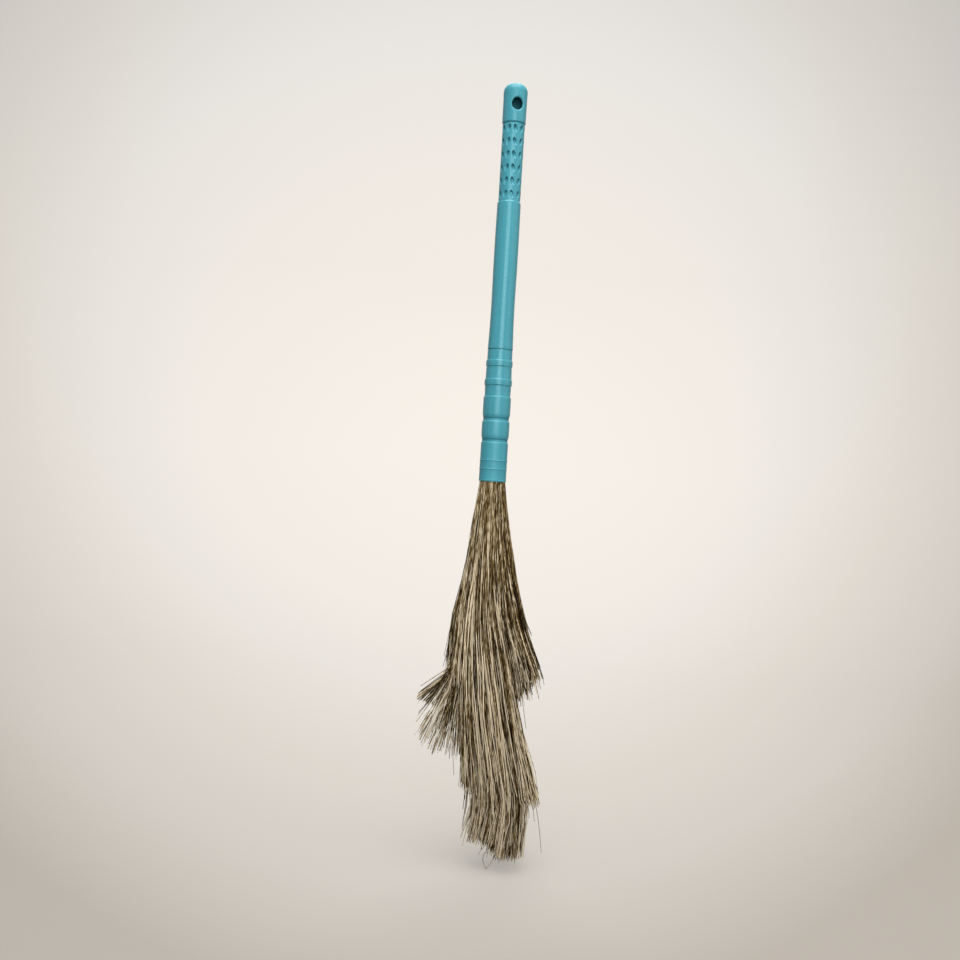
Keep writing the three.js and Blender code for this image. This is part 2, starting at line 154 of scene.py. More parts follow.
def add_node(tree, kind, operation=None, **sockets):
    """Adds a shader node and fills its sockets, by a link or a value each; _ stands for a space in a name."""
    made = tree.nodes.new("ShaderNode" + kind)
    if operation:
        made.operation = operation
    for name, value in sockets.items():
        socket = made.inputs[name.replace("_", " ")]
        if isinstance(value, bpy.types.NodeSocket):
            tree.links.new(value, socket)
        else:
            socket.default_value = value
    return made


def add_ramp(tree, factor, *stops):
    """A colour ramp over the factor through (position, linear red, green, blue) stops."""
    ramp = add_node(tree, "ValToRGB", Fac=factor)
    elements = ramp.color_ramp.elements
    while len(elements) < len(stops):
        elements.new(0.5)
    for element, (position, *colour) in zip(elements, stops):
        element.position = position
        element.color = (*colour, 1)
    return ramp.outputs["Color"]


def new_material(name):
    """An empty node material, with its tree and its principled shader."""
    material = bpy.data.materials.new(name)
    material.use_nodes = True
    return material, material.node_tree, material.node_tree.nodes["Principled BSDF"]


teal, tree, plastic = new_material("teal_moulded_plastic")
plastic.inputs["IOR"].default_value = 1.49
plastic.inputs["Specular Tint"].default_value = (0.7, 0.97, 1.0, 1)
place = add_node(tree, "TexCoord").outputs["Object"]
drawn_out = add_node(tree, "Mapping", Vector=place, Scale=(1, 1, 0.05)).outputs["Vector"]
flow_lines = add_node(tree, "TexNoise", Vector=drawn_out, Scale=170, Detail=5).outputs["Fac"]
pigment = add_ramp(tree, flow_lines, (0.3, *TEAL_DEEP), (0.7, *TEAL_PALE))
# This attribute darkens the pigment and adds roughness: painted shade in the dimples, the ferrule's grooves
# and the cap's hollow, and a faint even grime on the cap's outside
shade_and_grime_map = add_node(tree, "Attribute")
shade_and_grime_map.attribute_name = "shade_and_grime"
shade_and_grime_tint = add_ramp(tree, shade_and_grime_map.outputs["Fac"], (0, 1, 1, 1), (1, *SHADE_AND_GRIME_TINT))
shaded_pigment = add_node(tree, "VectorMath", "MULTIPLY", Vector=pigment)
tree.links.new(shade_and_grime_tint, shaded_pigment.inputs[1])
tree.links.new(shaded_pigment.outputs["Vector"], plastic.inputs["Base Color"])
scuffs = add_node(tree, "TexNoise", Vector=place, Scale=55, Detail=6, Roughness=0.65).outputs["Fac"]
gloss = add_node(tree, "MapRange", Value=scuffs, From_Min=0.3, From_Max=0.7, To_Min=0.2, To_Max=0.31)
matted = add_node(tree, "Math", "MULTIPLY_ADD", Value=shade_and_grime_map.outputs["Fac"])
matted.inputs[1].default_value = 0.45
tree.links.new(gloss.outputs["Result"], matted.inputs[2])
height = add_node(tree, "SeparateXYZ", Vector=place).outputs["Z"]
up_handle = add_node(tree, "MapRange", Value=height, From_Min=-0.48, From_Max=0.03).outputs["Result"]
rubbed = add_ramp(tree, up_handle, *[(share, added, added, added) for share, added in RUBBED])
rough = add_node(tree, "Math", "ADD", Value=matted.outputs["Value"])
tree.links.new(rubbed, rough.inputs[1])
tree.links.new(rough.outputs["Value"], plastic.inputs["Roughness"])
skin = add_node(tree, "TexNoise", Vector=place, Scale=900, Detail=3).outputs["Fac"]
ripple = add_node(tree, "Bump", Height=skin, Strength=0.05, Distance=0.0004)
tree.links.new(ripple.outputs["Normal"], plastic.inputs["Normal"])

tube = wire_profile(TUBE_OUTLINE, TUBE_ROUNDING)
long_edges = [edge for edge in tube.edges if edge.calc_length() > LONG_EDGE * MM]
for edge in long_edges:
    if min(vert.co.x for vert in edge.verts) > (BORE_END_RADIUS + GRIP_RADIUS) / 2 * MM:
        on_grip = max(vert.co.z for vert in edge.verts) > SHAFT_TOP * MM / 2
        bmesh.ops.subdivide_edges(tube, edges=[edge], cuts=GRIP_CUTS if on_grip else SHAFT_CUTS)
for vert in tube.verts:
    below_top = SHAFT_TOP - vert.co.z / MM
    if vert.co.x > GRIP_RADIUS * MM and SWELL_FROM < below_top < SWELL_TO:
        vert.co.x = shaft_radius(below_top) * MM
spin_round(tube, TUBE_STEPS)
shade_and_grime = tube.verts.layers.float.new("shade_and_grime")
for vert in tube.verts:
    radius = math.hypot(vert.co.x, vert.co.y) / MM
    height = vert.co.z / MM
    if radius > GRIP_RADIUS - GRIP_SKIN and height > SHAFT_TOP:
        # Each dimple's depth, and painted shade in its upper end
        press, vert[shade_and_grime] = dimple_press(math.atan2(vert.co.y, vert.co.x), height)
        vert.co.xy *= 1 - DIMPLE_DEPTH * press / radius
finished_piece("grip_and_shaft", tube, teal, "handle_tube")


# Hanging cap: a hollow teal moulding with a domed crown, held in the top of the tube by its plug.
# An oval hole with a rolled edge goes through its front wall into the hollow, for a hook or nail.
CAP_RADIUS, CAP_FOOT_RADIUS, CAP_WALL = 15.4, 15.05, 2.4
CROWN, CAP_FOOT, CROWN_ROUND = 28.0, -23.0, 10.2
HOLE_WIDTH, HOLE_HEIGHT, HOLE_ROLL = 13.8, 15.6, 2.3
PLUG_RADIUS, PLUG_BORE, PLUG_END = 11.7, 9.7, -47.0
PLUG_LEAD_IN, PLUG_LEAD_UP, BORE_FLARE = 1, 2, 1
# The foot's rounded edge, as steps in from its radius and up from its end
FOOT_ROUND, FOOT_HEIGHT = [(0.15, 0.7), (0.8, 0)], 1.6
WALL_TOP, WALL_LOW = CROWN - CROWN_ROUND, CAP_FOOT + FOOT_HEIGHT
HALF_STEPS, WALL_STEPS, CROWN_STEPS = 48, 24, 10
OUTER_RINGS, ROLL_RINGS, INNER_RINGS = 6, 5, 3
CAP_MERGE_GAP = 0.02
# Painted shade in the cap's hollow, below a depth into its wall, and a faint even grime on its outside
HOLLOW_FROM, HOLLOW_SHADE, OUTSIDE_GRIME = 0.9, 0.55, 0.07


def wall_radius(height):
    """The outer radius of the cap's straight wall, which tapers slightly to its foot."""
    return CAP_FOOT_RADIUS + (CAP_RADIUS - CAP_FOOT_RADIUS) * (height - WALL_LOW) / (WALL_TOP - WALL_LOW)


def panel_border():
    """Points round the border of the front wall, as a turn from its middle and a height."""
    corners = [(-1, WALL_LOW, HALF_STEPS), (1, WALL_LOW, WALL_STEPS),
               (1, WALL_TOP, HALF_STEPS), (-1, WALL_TOP, WALL_STEPS)]
    for (side, height, steps), (next_side, next_height, _) in zip(corners, corners[1:] + corners[:1]):
        for step in range(steps):
            share = step / steps
            yield math.pi / 2 * (side + (next_side - side) * share), height + (next_height - height) * share


def cap_ring(border, outward, roll, depth):
    """A ring of points in the front wall, from the hole's edge (outward 0) to the border (1), at a depth."""
    for turn, height in border:
        angle = math.atan2(height / HOLE_HEIGHT, CAP_RADIUS * turn / HOLE_WIDTH)
        edge_height = (HOLE_HEIGHT / 2 + roll) * math.sin(angle)
        edge_across = (HOLE_WIDTH / 2 + roll) * math.cos(angle)
        edge_turn = math.asin(edge_across / (CAP_RADIUS - depth))
        up = edge_height + (height - edge_height) * outward
        out = edge_turn + (turn - edge_turn) * outward
        radius = wall_radius(up) - depth
        yield Vector((radius * math.sin(out), -radius * math.cos(out), up)) * MM


def quarter_turns(steps):
    """Angles from 0 to a right angle, in equal steps."""
    return [math.pi / 2 * k / steps for k in range(steps + 1)]


def crown_line(radius):
    """The crown's rounded edge in section, up to its flat top and the axis."""
    centre = CAP_RADIUS - CROWN_ROUND
    turns = quarter_turns(CROWN_STEPS)
    edge = [(centre + radius * math.cos(turn), WALL_TOP + radius * math.sin(turn)) for turn in turns]
    return edge + [(0, WALL_TOP + radius)]


cap = bmesh.new()
border = list(panel_border())
rings = [(1 - k / OUTER_RINGS, HOLE_ROLL, 0) for k in range(OUTER_RINGS)]
for angle in quarter_turns(ROLL_RINGS):
    rings.append((0, HOLE_ROLL * (1 - math.sin(angle)), HOLE_ROLL * (1 - math.cos(angle))))
rings += [(k / INNER_RINGS, 0, CAP_WALL) for k in range(INNER_RINGS + 1)]
ring = bmesh.ops.create_circle(cap, segments=len(border), radius=1)["verts"]
for step, (outward, roll, depth) in enumerate(rings):
    if step:
        loop = [cap.edges.get(pair) for pair in zip(ring, ring[1:] + ring[:1])]
        made = set(bmesh.ops.extrude_edge_only(cap, edges=loop)["geom"])
        ring = [next(e.other_vert(v) for e in v.link_edges if e.other_vert(v) in made) for v in ring]
    for vert, point in zip(ring, cap_ring(border, outward, roll, depth)):
        vert.co = point
foot = [(wall_radius(WALL_LOW), WALL_LOW)]
foot += [(CAP_FOOT_RADIUS - inwards, CAP_FOOT + upwards) for inwards, upwards in FOOT_ROUND]
foot += [(PLUG_RADIUS, CAP_FOOT), (PLUG_RADIUS, PLUG_END + PLUG_LEAD_UP)]
foot += [(PLUG_RADIUS - PLUG_LEAD_IN, PLUG_END), (PLUG_BORE, PLUG_END)]
foot += [(PLUG_BORE, WALL_LOW - BORE_FLARE), (wall_radius(WALL_LOW) - CAP_WALL, WALL_LOW)]
spun_lines = [(crown_line(CROWN_ROUND), math.tau), (crown_line(CROWN_ROUND - CAP_WALL), math.tau)]
spun_lines.append((foot, math.tau))
wall_heights = [WALL_LOW + (WALL_TOP - WALL_LOW) * k / WALL_STEPS for k in range(WALL_STEPS + 1)]
for depth in (0, CAP_WALL):
    spun_lines.append(([(wall_radius(height) - depth, height) for height in wall_heights], math.pi))
for line, angle in spun_lines:
    points = [cap.verts.new((radius * MM, 0, height * MM)) for radius, height in line]
    edges = [cap.edges.new(pair) for pair in zip(points, points[1:])]
    bmesh.ops.spin(cap, geom=points + edges, cent=(0, 0, 0), axis=(0, 0, 1), angle=angle,
                   steps=round(2 * HALF_STEPS * angle / math.tau), use_merge=angle == math.tau)
bmesh.ops.remove_doubles(cap, verts=cap.verts[:], dist=CAP_MERGE_GAP * MM)
bmesh.ops.recalc_face_normals(cap, faces=cap.faces[:])
shade_and_grime = cap.verts.layers.float.new("shade_and_grime")
# Painted shade darkens the hollow behind the hole; the outside gets a faint even grime
for vert in cap.verts:
    within_wall = math.hypot(vert.co.x, vert.co.y) < (CAP_RADIUS - HOLLOW_FROM * CAP_WALL) * MM
    in_hollow = within_wall and vert.co.z < WALL_TOP * MM
    vert[shade_and_grime] = HOLLOW_SHADE if in_hollow else OUTSIDE_GRIME
finished_piece("hanging_cap", cap, teal, "hang_cap")


# Ferrule: a teal moulding, pushed up into the tube by its spigot. Outside it has two raised rings, two
# barrels, each over a groove, and the fibre socket with two hair-fine beads and a third at its mouth.
# The grooves stand as ridges inside the socket, just below the bindings.
FERRULE_TOP, MOUTH = -312.3, -480.0
SPIGOT_RADIUS, SPIGOT_BORE, SPIGOT_END = 13.05, 11.25, -268.0
SPIGOT_LEAD_IN, SPIGOT_LEAD_DOWN, SPIGOT_TAPER = 0.8, 2, 0.2
NECK_RADIUS, NECK_WALL, NECK_EDGE = 15.9, 1.8, (0.5, 1.2)
NECK_BORE_TOP, SPIGOT_BORE_FOOT = 8, 4
BETWEEN_RADIUS, BELOW_RADIUS = 16.35, 16.75
# The raised rings: each one's top and radius, the radius that it rises from and the one it drops back to
RING_HEIGHT = 8.6
RINGS = [
    (-325.2, 17.0, NECK_RADIUS + 0.1, BETWEEN_RADIUS),
    (-349.4, 17.6, BETWEEN_RADIUS + 0.3, BELOW_RADIUS),
]
BARREL_RADIUS, BARRELS = 17.65, [(-372.0, -398.8), (-403.4, -426.0)]
GROOVE_RADIUS, GROOVE_MIDDLE = 16.35, 0.9
# Painted shade in the grooves: its depth at a groove's middle and how far it reaches
GROOVE_SHADE, GROOVE_SHADE_REACH = 0.85, 1.8
SOCKET_RADIUS, SOCKET_BORE, SOCKET_TOP = 17.3, 15.7, -430.6
BEADS_ABOVE_MOUTH, BEAD_HEIGHT = (26.2, 15.4, 1.0), 0.42
MOUTH_LIP, MOUTH_FLARE_OUT, MOUTH_FLARE_UP = 0.5, 0.3, 0.8
CEILING, CEILING_THICKNESS = -374.5, 3
RIDGES, RIDGE_RADIUS, RIDGE_HALF = (-400.5, -427.5), 14.9, 2.5
FERRULE_ROUNDING, FERRULE_STEPS = 0.22, 128


def steps_from(radius, height, *steps):
    """Points of a section at steps (outwards, upwards) from a radius and a height."""
    return [(radius + outwards, height + upwards) for outwards, upwards in steps]


def raised_ring(top, radius, above, below):
    """Section of a ring from top to bottom: a wide chamfer above, and a small cove under its lower edge."""
    bottom = top - RING_HEIGHT
    upper_edge = [(above, top)] + steps_from(radius, top, (-0.1, -1.5), (0, -2.2))
    lower_edge = steps_from(radius, bottom, (0, 0.7), (-0.5, 0))
    return upper_edge + lower_edge + steps_from(below, bottom, (-0.25, -0.35), (0, -1.5))


def barrel(top, bottom):
    """Section of a barrel and its groove: crisp above, a little crowned, well rounded below."""
    upper_edge = steps_from(GROOVE_RADIUS, top, (0.1, 0.3))
    upper_edge += steps_from(BARREL_RADIUS, top, (-0.2, -0.9), (-0.08, -2.2))
    lower_edge = steps_from(BARREL_RADIUS, bottom, (-0.15, 4.4), (-0.45, 2.2))
    groove = steps_from(GROOVE_RADIUS, bottom, (0.35, 0.5), (0, -0.6), (0, -2.2))
    return upper_edge + [(BARREL_RADIUS, (top + bottom) / 2)] + lower_edge + groove


def bead(height):
    """Section of a hair-fine bead round the socket."""
    return steps_from(SOCKET_RADIUS, height, (0, 0.8), (BEAD_HEIGHT, 0.15), (BEAD_HEIGHT, -0.25), (0, -0.8))


outside = steps_from(SPIGOT_RADIUS, SPIGOT_END, (-SPIGOT_LEAD_IN, 0), (0, -SPIGOT_LEAD_DOWN))
outside += [(SPIGOT_RADIUS + SPIGOT_TAPER, FERRULE_TOP)]
outside += steps_from(NECK_RADIUS, FERRULE_TOP, (-NECK_EDGE[0], 0), (0, -NECK_EDGE[1]))
for top, radius, above, below in RINGS:
    outside += raised_ring(top, radius, above, below)
for top, bottom in BARRELS:
    outside += barrel(top, bottom)
outside += steps_from(GROOVE_RADIUS, SOCKET_TOP, (0, 0.5))
outside += steps_from(SOCKET_RADIUS, SOCKET_TOP, (-0.12, -0.6), (0, -1.8))
for height in BEADS_ABOVE_MOUTH:
    outside += bead(MOUTH + height)
outside += [(SOCKET_RADIUS, MOUTH - MOUTH_LIP)]
inside = [(SOCKET_BORE + MOUTH_FLARE_OUT, MOUTH - MOUTH_LIP), (SOCKET_BORE, MOUTH + MOUTH_FLARE_UP)]
for ridge in reversed(RIDGES):
    inside += [(SOCKET_BORE, ridge - RIDGE_HALF), (RIDGE_RADIUS, ridge), (SOCKET_BORE, ridge + RIDGE_HALF)]
inside += [(SOCKET_BORE, CEILING), (0, CEILING)]
hollow_neck = [(0, CEILING + CEILING_THICKNESS), (NECK_RADIUS - NECK_WALL, CEILING + CEILING_THICKNESS)]
hollow_neck += [(NECK_RADIUS - NECK_WALL, FERRULE_TOP - NECK_BORE_TOP)]
hollow_neck += [(SPIGOT_BORE, FERRULE_TOP - SPIGOT_BORE_FOOT), (SPIGOT_BORE, SPIGOT_END)]
ferrule = wire_profile(hollow_neck + outside + inside, FERRULE_ROUNDING, closed=False)
spin_round(ferrule, FERRULE_STEPS)
shade_and_grime = ferrule.verts.layers.float.new("shade_and_grime")
# Painted shade darkens the outside in each groove, under the barrel above it
for vert in ferrule.verts:
    height = vert.co.z / MM
    nearest_groove = min(abs(height - bottom + GROOVE_MIDDLE) for _, bottom in BARRELS)
    if math.hypot(vert.co.x, vert.co.y) > SOCKET_BORE * MM:
        vert[shade_and_grime] = GROOVE_SHADE * max(0.0, 1 - nearest_groove / GROOVE_SHADE_REACH)
finished_piece("ringed_ferrule", ferrule, teal, "ferrule")


# Glue plug: hot-melt glue that was poured into the socket before the fibre, and set hard behind the butts.
# Its CAD solid stays, with a cloudy amber finish.
AMBER_DEEP, AMBER_PALE = (0.62, 0.50, 0.27), (0.80, 0.73, 0.52)


def dress_node(name, material):
    """Gives a CAD node that stays in view its finish."""
    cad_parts[name].data.materials.clear()
    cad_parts[name].data.materials.append(material)


glue, tree, amber = new_material("set_hot_melt_glue")
place = add_node(tree, "TexCoord").outputs["Object"]
clouds = add_node(tree, "TexNoise", Vector=place, Scale=120, Detail=4).outputs["Fac"]
clouded = add_ramp(tree, clouds, (0.3, *AMBER_DEEP), (0.7, *AMBER_PALE))
tree.links.new(clouded, amber.inputs["Base Color"])
ripple = add_node(tree, "Bump", Height=clouds, Strength=0.3, Distance=0.0006)
tree.links.new(ripple.outputs["Normal"], amber.inputs["Normal"])
amber.inputs["Roughness"].default_value = 0.45
dress_node("glue_plug", glue)


# Binding wires: galvanised steel wire, wound tight round the four butts above each ridge in the socket.
# The CAD windings stay, with a dull spangled finish.
ZINC_DULL, ZINC_BRIGHT = (0.38, 0.39, 0.41), (0.55, 0.56, 0.58)
zinc, tree, steel = new_material("galvanised_wire")
place = add_node(tree, "TexCoord").outputs["Object"]
spangle = add_node(tree, "TexNoise", Vector=place, Scale=700, Detail=4).outputs["Fac"]
spangled = add_ramp(tree, spangle, (0.3, *ZINC_DULL), (0.7, *ZINC_BRIGHT))
tree.links.new(spangled, steel.inputs["Base Color"])
dulled = add_node(tree, "MapRange", Value=spangle, To_Min=0.25, To_Max=0.55)
tree.links.new(dulled.outputs["Result"], steel.inputs["Roughness"])
steel.inputs["Metallic"].default_value = 1
for name in ("upper_binding_wire", "lower_binding_wire"):
    dress_node(name, zinc)


# Fibre hanks: stiff brown fibres, about a millimetre thick, bound in four hanks and glued in the socket.
# Wear has set them askew: a flared left hank, a short right one with its front cut back, and a long tail in
# two halves that sweeps to the right and ends in two tiers. Above, all four hanks make up one round bundle.
FIBRE_COUNT, FIBRE_POINTS, FIBRE_SIDES, FIBRE_RADIUS = 5000, 16, 4, 0.54
POINT_SPACING, PLACE_SCATTER = 0.92, 0.012
GIRTH_SPREAD, GIRTH_LEAST, GIRTH_MOST = 0.25, 0.55, 1.6
FIBRE_TAPER = [(0, 0.6), (0.3, 1), (0.85, 0.95), (1, 0.65)]
FAN_TURN, HANK_TURN = math.radians(-11), math.radians(12)
LEFT_CUT, RIGHT_CUT = -0.498, 0.317
PART_FROM, PART_TO = 110, 265
# Neighbours cling together in locks, which draw in, sway and end together
FIBRES_PER_LOCK, LOCK_SWAY, LOCK_ENDS = 7, 0.055, 4
PULL_FROM, PULL_TO, SWAY_FROM, SWAY_TO = 5, 280, 130, 430
FRONT_LIFT, BEND_POWER, SIDE_MARGIN = 0.026, 1.15, 0.01
# How far a fibre drifts, waves and kinks by itself, more and more below the mouth
LOOSE_AT_MOUTH, LOOSE_GAIN, LOOSE_DROP = 0.2, 1.2, 400
DRIFT, DRIFT_DROP, SHORT_WAVE, LONG_WAVE, KINK = 1.8, 300, 75, 150, 0.9
# Each few fibres side by side in a layer of the bundle have all the tones, which change half way down
FIBRE_LAYERS, TONES, TONE_SPREAD, TONE_POWER = 25, 5, 0.5, 1.2
TONE_TURNS_FROM, TONE_TURNS_TO, LOCK_TONE = 0.35, 0.75, 0.04
# Painted shade on the fibres at the bundle's edges, and where it starts
PAINTED_EDGE_SHADE, EDGE_FROM = 0.4, 0.85

# The round bundle at a drop below the mouth: its left and right edges and its half depth
BUNDLE = [
    (-8, -14.6, 14.6, 14.6), (0, -15, 15, 15), (8, -16.4, 16.6, 16.4), (60, -22.5, 25, 20.5),
    (120, -29.2, 37.6, 26), (180, -40, 53.5, 31), (240, -45, 76, 36),
]
# The same for each hank by itself, below where the bundle parts
LEFT_COURSE = [
    (120, -29, -12, 26), (180, -40, -17, 31), (235, -44.5, -21, 34), (262, -43, -20, 35),
    (300, -38, -17, 35), (380, -36, -8, 36),
]
RIGHT_COURSE = [(120, 13, 37, 26), (180, 20, 53.5, 31), (235, 27, 75, 34), (300, 36, 96, 36)]
TAIL_TOP = [
    (120, -20, 20, 26), (180, -25, 27, 31), (243, -24, 36, 36),
    (281, -21, 45, 38), (310, -18, 53, 38),
]
TAIL_COURSE = TAIL_TOP + [(345, -14, 62, 38), (381, -11.5, 73, 38), (405, -10, 78, 38), (440, -10, 81, 38)]
# And for the tail's fibres that reach down to its lower tier
LOWER_REACH = 428
LOWER_COURSE = TAIL_TOP + [
    (345, -9, 58, 37), (381, -3, 66, 37), (405, 3, 68, 37), (420, 4, 68, 37),
    (440, -2, 66, 37), (455, -7, 64, 37), (484, -5, 64, 37),
]

BROWNS = [
    (0.05, 0.010, 0.0045, 0.0005),
    (0.35, 0.092, 0.0515, 0.0112),
    (0.65, 0.286, 0.209, 0.096),
    (0.95, 0.73, 0.625, 0.45),
]
fibre, tree, stalk = new_material("worn_brown_fibre")
tone = add_node(tree, "Attribute")
tone.attribute_name = "tone"
place = add_node(tree, "TexCoord").outputs["Object"]
along = add_node(tree, "Mapping", Vector=place, Scale=(1, 1, 0.14)).outputs["Vector"]
grain = add_node(tree, "TexNoise", Vector=along, Scale=600, Detail=4, Roughness=0.6).outputs["Fac"]
height = add_node(tree, "SeparateXYZ", Vector=place).outputs["Z"]
contrast = add_node(tree, "MapRange", Value=height, From_Min=-0.5, From_Max=-0.75, To_Min=0.62, To_Max=2.1)
own_tone = add_node(tree, "Math", "MULTIPLY", Value=tone.outputs["Fac"])
tree.links.new(contrast.outputs["Result"], own_tone.inputs[1])
mottled = add_node(tree, "Math", "MULTIPLY_ADD", Value=grain)
mottled.inputs[1].default_value = 2.4
tree.links.new(own_tone.outputs["Value"], mottled.inputs[2])
# Tones grow paler lower down: partly worn, dusty ends, partly painted light that lifts the lower fibres out
# of the shadow of those above
dust_and_painted_fill = add_node(tree, "MapRange", Value=height, From_Min=-0.56, From_Max=-0.86, To_Min=-0.62, To_Max=-0.33)
tone_with_dust_and_fill = add_node(tree, "Math", "ADD", Value=mottled.outputs["Value"])
tree.links.new(dust_and_painted_fill.outputs["Result"], tone_with_dust_and_fill.inputs[1])
browned = add_ramp(tree, tone_with_dust_and_fill.outputs["Value"], *BROWNS)
tree.links.new(browned, stalk.inputs["Base Color"])
worn = add_node(tree, "MapRange", Value=grain, To_Min=0.38, To_Max=0.62)
tree.links.new(worn.outputs["Result"], stalk.inputs["Roughness"])
stalk.inputs["Specular IOR Level"].default_value = 0.06
ridged = add_node(tree, "Bump", Height=grain, Strength=0.25, Distance=0.0003)
tree.links.new(ridged.outputs["Normal"], stalk.inputs["Normal"])


def smooth_step(value, low, high):
    """0 below low, 1 above high, with a smooth rise between."""
    share = np.clip((value - low) / (high - low), 0, 1)
    return share * share * (3 - 2 * share)


def fibre_piece(name, paths, girths, root_tones, tip_tones):
    """A mesh of thin tubes along the paths (fibre, point, xyz in mm), each of its own girth and tones."""
    curve = bpy.data.curves.new(name, "CURVE")
    curve.dimensions = "3D"
    curve.bevel_depth = MM
    curve.bevel_resolution = 0
    curve.use_fill_caps = True
    curve.resolution_u = 1
    for path, girth in zip(paths, girths):
        spline = curve.splines.new("NURBS")
        spline.points.add(len(path) - 1)
        spline.points.foreach_set("co", np.column_stack([path * MM, np.ones(len(path))]).ravel())
        spline.points.foreach_set("radius", girth)
        spline.order_u = 3
        spline.use_endpoint_u = True
    tubes = bpy.data.objects.new(name + "_paths", curve)
    bpy.context.scene.collection.objects.link(tubes)
    data = bpy.data.meshes.new_from_object(tubes.evaluated_get(bpy.context.evaluated_depsgraph_get()))
    bpy.data.objects.remove(tubes)
    data.name = name
    shade = data.attributes.new("tone", "FLOAT", "POINT")
    rings = len(data.vertices) // len(paths) // FIBRE_SIDES
    towards_tip = smooth_step(np.linspace(0, 1, rings), TONE_TURNS_FROM, TONE_TURNS_TO)
    tones = root_tones[:, None] + (tip_tones - root_tones)[:, None] * towards_tip
    shade.data.foreach_set("value", np.repeat(tones.ravel(), FIBRE_SIDES).astype(np.float32))
    data.shade_smooth()
    data.materials.clear()
    data.materials.append(fibre)
    piece = bpy.data.objects.new(name, data)
    bpy.context.scene.collection.objects.link(piece)
    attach(piece, "root")
    return piece


def set_on_handle(across, depth, drop):
    """Points across, in depth and down from the mouth (mm), turned as the head sits on the handle."""
    c, s = math.cos(FAN_TURN), math.sin(FAN_TURN)
    return np.stack([c * across - s * depth, s * across + c * depth, MOUTH - drop], axis=-1)


def on_course(course, drop, share, deep):
    """Across and in depth at a drop, for shares of the course's width (0 to 1) and depth (-1 to 1)."""
    stations, left, right, depth = np.array(course, dtype=float).T
    low = np.interp(drop, stations, left)
    high = np.interp(drop, stations, right)
    return low + share * (high - low), deep * np.interp(drop, stations, depth)


def hank_place(u, v):
    """A place on the bundle's disc in the hanks' own columns and rows, which stand askew to the front."""
    c, s = math.cos(HANK_TURN), math.sin(HANK_TURN)
    return u * c - v * s, u * s + v * c


def ragged(step, most, chance, count):
    """How much shorter than their line the fibres end: mostly a little, and now and then a lot."""
    return np.minimum(step * chance.exponential(1, count), most)


# The left hank's tips, as shares of its width, and in mm across and below the mouth
WORN_EDGE, WISP_EDGE, WISP_FRONT, BROKEN_SHARE = 0.2, 0.42, -0.05, 0.76
WORN_DROP, WORN_SPAN, BROKEN_DROP, BROKEN_SPAN = 212, 34, 195, 115
WISP_ACROSS, WISP_SPREAD, WISP_DROP, WISP_SPAN, WISP_RAGGED, WISP_BENDS = -61, 18, 294, 10, 3, 240
FAN_INNER, FAN_REACH, FAN_OUTER, FAN_SCATTER, FAN_BENDS = -11, 62, -76, 7, 246
FAN_SHARE, FAN_POWER, FAN_RAGGED, FAN_SHORTEST = 0.7, 1.15, 16, 60
FAN_LINE = [(-78, 334), (-60, 356), (-14, 362)]


def left_tips(share, deep, chance):
    """The left hank's tips: a wisp bent out from its edge, a sparse fan, and fibres broken short."""
    count = len(share)
    spread = chance.uniform(0, 1, count)
    worn_edge = share < WORN_EDGE
    wisp = (share >= WORN_EDGE) & (share < WISP_EDGE) & (deep < WISP_FRONT)
    broken = ~worn_edge & ~wisp & (chance.uniform(0, 1, count) < BROKEN_SHARE)
    fanned = FAN_INNER - FAN_REACH * ((1 - share) / FAN_SHARE) ** FAN_POWER
    fanned = np.maximum(fanned + FAN_SCATTER * chance.normal(0, 1, count), FAN_OUTER)
    across = np.where(wisp, WISP_ACROSS - WISP_SPREAD * spread, fanned)
    drop = np.interp(across, *zip(*FAN_LINE)) - ragged(FAN_RAGGED, FAN_SHORTEST, chance, count)
    wisp_drop = WISP_DROP - WISP_SPAN * spread - WISP_RAGGED * chance.exponential(1, count)
    drop = np.where(wisp, wisp_drop, drop)
    drop = np.where(broken, BROKEN_DROP + BROKEN_SPAN * spread, drop)
    drop = np.where(worn_edge, WORN_DROP + WORN_SPAN * spread, drop)
    return drop, np.where(broken | worn_edge, np.nan, across), np.where(wisp, WISP_BENDS, FAN_BENDS)


# The right hank's tips
TIER_LINE = [(0, 286), (0.29, 283), (0.5, 270), (0.74, 261), (0.9, 253), (1, 243)]
TIER_RAGGED, TIER_SHORTEST, LONG_SHARE, LONG_EXTRA = 12, 50, 0.08, 14
CUT_BACK, CUT_LEAST, CUT_MOST = 85, 0.15, 1.1
CUT_DEEP_FROM, CUT_DEEP_TO, CUT_SIDE_FROM, CUT_SIDE_TO = 0.2, 0.9, 0.5, 0.95


def right_tips(share, deep, chance):
    """The right hank's tips: a short tier whose edge climbs to the right, cut back at its front."""
    count = len(share)
    line = np.interp(share, *zip(*TIER_LINE))
    line += np.where(chance.uniform(0, 1, count) < LONG_SHARE, LONG_EXTRA, 0)
    in_front = smooth_step(-deep, CUT_DEEP_FROM, CUT_DEEP_TO)
    cut_back = CUT_BACK * in_front * (1 - smooth_step(share, CUT_SIDE_FROM, CUT_SIDE_TO))
    drop = line - cut_back * chance.uniform(CUT_LEAST, CUT_MOST, count)
    return drop - ragged(TIER_RAGGED, TIER_SHORTEST, chance, count), None, None


# The tail's tips, and how likely the upper tier is by the share of the width from the nearer side
UPPER_DROP, UPPER_SLOPE, UPPER_RAGGED = 402, 15, 12
LOWER_DROP, LOWER_STEP, STEP_FROM, STEP_TO = 467, 18, 0.42, 0.62
LOWER_RAGGED, TAIL_SHORTEST = [(0.3, 14), (0.5, 7)], 45
UPPER_LIKELY, LEFT_SIDE = [(0.05, 1), (0.09, 0.55), (0.25, 0.12)], 0.9
FRONT_LIKELY, FRONT_FROM, FRONT_TO = 0.3, 0.5, 0.95


